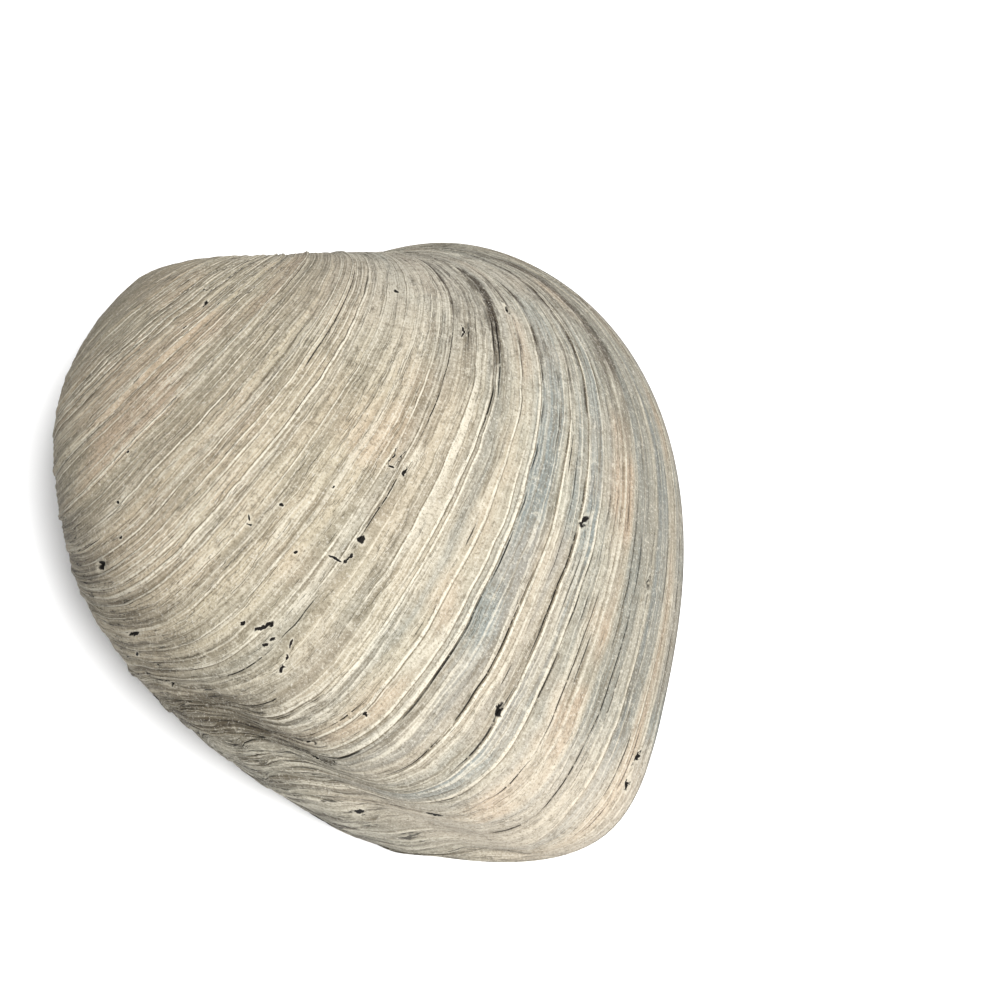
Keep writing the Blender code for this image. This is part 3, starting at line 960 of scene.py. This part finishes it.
def outside_material():
    """Layered, chalky, weathered growth lines."""
    g = Outside()
    pits = pit_distance(g)
    middle = g.lines(2.6, 150, 5.1, 3, 0.6)
    fine = g.lines(9, 420, 9.7, 2, 0.6)
    grain = g.noise(g.spot, 2700, 2, 0.8)
    mottle = g.noise(g.spot, 700, 3, 0.7)
    colour, worn_and_shaded, marks = weathered_and_shaded_colour(g, layer_colour(g, middle, fine))
    colour = g.tint(colour, g.steep(mottle, 0.49, 0.30), 0.38, GROOVE)
    colour = g.tint(colour, g.steep(mottle, 0.55, 0.72), 0.35, CREAM)
    colour = g.tint(colour, g.steep(grain, 0.50, 0.28), 0.60, GROOVE)
    colour = g.tint(colour, g.steep(grain, 0.54, 0.74), 0.60, CHALK)

    # Hairlines are nearly black; the cracks and pits are painted nearly black, as painted shade
    # inside them
    hair = g.steep(g.lines(34, 250, 7.9, 3, 0.8), 0.395, 0.350)
    hair = g.times(hair, g.math("MULTIPLY_ADD", worn_and_shaded, 0.78, 0.10))
    colour = g.mix(hair, colour, BLACK)
    gaps = g.noise(g.vector(g.times(g.around, 260), g.times(g.size, 60)), 1.0, 2)
    crack = g.times(g.steep(g.attribute("crack"), 0.14, 0.55), g.steep(gaps, 0.30, 0.44))
    colour = g.tint(colour, crack, 0.92, BLACK)
    colour = g.tint(colour, g.steep(pits, 2.1, 1.2), 0.35, CREAM)
    colour = g.mix(g.steep(pits, 1.15, 0.80), colour, BLACK)
    g.put(g.shader.inputs["Base Color"], colour)
    g.put(g.shader.inputs["Roughness"], g.math("MULTIPLY_ADD", grain, 0.2, 0.68))
    g.shader.inputs["Specular IOR Level"].default_value = 0.2

    # The pits stay out of the relief, which evaluates its nodes three times
    relief = g.times(middle, 0.7)
    raised = ((fine, 0.7), (grain, 0.45), (mottle, 0.6))
    sunken = ((hair, -0.5), (marks, -0.5), (crack, -0.8))
    for height, share in raised + sunken:
        relief = g.math("MULTIPLY_ADD", height, share, relief)
    g.dent(relief, 1.0, 0.3 * MM)
    return g.material


def inside_material():
    """Dull, off-white lining with a chalky rim, two muscle scars and the mantle's line."""
    g = Graph("dull_inside")
    place = g.place()
    depth = g.attribute("inside")
    clouds = g.noise(place, 38, 3, 0.55)
    grain = g.noise(place, 1900, 2, 0.7)
    chips = g.noise(place, 850, 3, 0.65)
    colour = g.mix(g.steep(clouds, 0.35, 0.65), shade(228, 220, 202), shade(244, 239, 228))
    rim = g.mix(g.steep(chips, 0.40, 0.62), shade(206, 197, 178), shade(230, 222, 206))
    colour = g.mix(g.steep(depth, 0.0, 0.10), rim, colour)

    line_place = g.math("MULTIPLY_ADD", g.math("SUBTRACT", clouds, 0.5), 0.06, depth)
    below = g.steep(line_place, 0.315, 0.335)
    line = g.times(below, g.steep(line_place, 0.40, 0.35))
    scars = None
    for x, y, length, width in SCARS:
        away = g.oval(place, (x * MM, y * MM), 0, (length * MM, width * MM))
        scar = g.steep(away, 1.06, 0.96)
        scars = scar if scars is None else g.math("MAXIMUM", scars, scar)
    scars = g.times(scars, g.steep(depth, 0.05, 0.12))
    colour = g.tint(colour, line, 0.35, shade(186, 172, 148))
    colour = g.tint(colour, scars, 0.45, shade(196, 184, 162))
    colour = g.tint(colour, g.steep(grain, 0.50, 0.30), 0.30, shade(160, 150, 132))
    g.put(g.shader.inputs["Base Color"], colour)
    g.put(g.shader.inputs["Roughness"], g.math("MULTIPLY_ADD", grain, 0.2, 0.42))
    relief = g.times(g.noise(place, 600, 4, 0.6), 0.5)
    relief = g.math("MULTIPLY_ADD", line, -0.35, relief)
    relief = g.math("MULTIPLY_ADD", scars, -0.6, relief)
    g.dent(relief, 0.6, 0.4 * MM)
    return g.material


def add_camera():
    """A camera where the photograph was taken."""
    lens = bpy.data.cameras.new("camera")
    lens.lens = CAMERA_LENS
    lens.sensor_width = CAMERA_SENSOR
    lens.clip_start = NEAREST_SEEN
    forward = (CAMERA_AIM - CAMERA_PLACE).normalized()
    level = forward.cross(Vector((0, 0, 1))).normalized()
    up = level.cross(forward)
    right = level * math.cos(CAMERA_ROLL) + up * math.sin(CAMERA_ROLL)
    up = right.cross(forward)
    camera = bpy.data.objects.new("camera", lens)
    turn = Matrix((right, up, -forward)).transposed().to_4x4()
    camera.matrix_world = Matrix.Translation(CAMERA_PLACE) @ turn
    bpy.context.scene.collection.objects.link(camera)
    bpy.context.scene.camera = camera


def add_light(name, place, aim, width, power):
    """A square soft box."""
    data = bpy.data.lights.new(name, "AREA")
    data.size = width
    data.energy = power
    light = bpy.data.objects.new(name, data)
    light.location = place
    light.rotation_euler = (Vector(aim) - Vector(place)).to_track_quat("-Z", "Y").to_euler()
    bpy.context.scene.collection.objects.link(light)


def add_studio():
    """A plain pale floor and soft light."""
    mesh = bpy.data.meshes.new("floor")
    signs = ((-1, -1), (1, -1), (1, 1), (-1, 1))
    corners = [(x * FLOOR_HALF, y * FLOOR_HALF, FLOOR_LEVEL) for x, y in signs]
    mesh.from_pydata(corners, [], [(0, 1, 2, 3)])
    floor = bpy.data.objects.new("floor", mesh)
    bpy.context.scene.collection.objects.link(floor)
    paint = Graph("pale_floor")
    paint.shader.inputs["Base Color"].default_value = (FLOOR_GREY, FLOOR_GREY, FLOOR_GREY, 1)
    paint.shader.inputs["Roughness"].default_value = 0.9
    mesh.materials.append(paint.material)
    world = bpy.data.worlds.new("studio")
    world.use_nodes = True
    sky = world.node_tree.nodes["Background"]
    sky.inputs["Color"].default_value = (1.0, 1.0, 1.0, 1)
    sky.inputs["Strength"].default_value = SKY_STRENGTH
    bpy.context.scene.world = world
    add_light("key", KEY_PLACE, KEY_AIM, KEY_WIDTH, KEY_WATTS)
    bpy.context.scene.view_settings.view_transform = "Standard"


add_camera()
add_studio()
valve = build_valve()
valve.data.materials.append(outside_material())
valve.data.materials.append(inside_material())
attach(valve, "root")
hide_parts("right_valve")
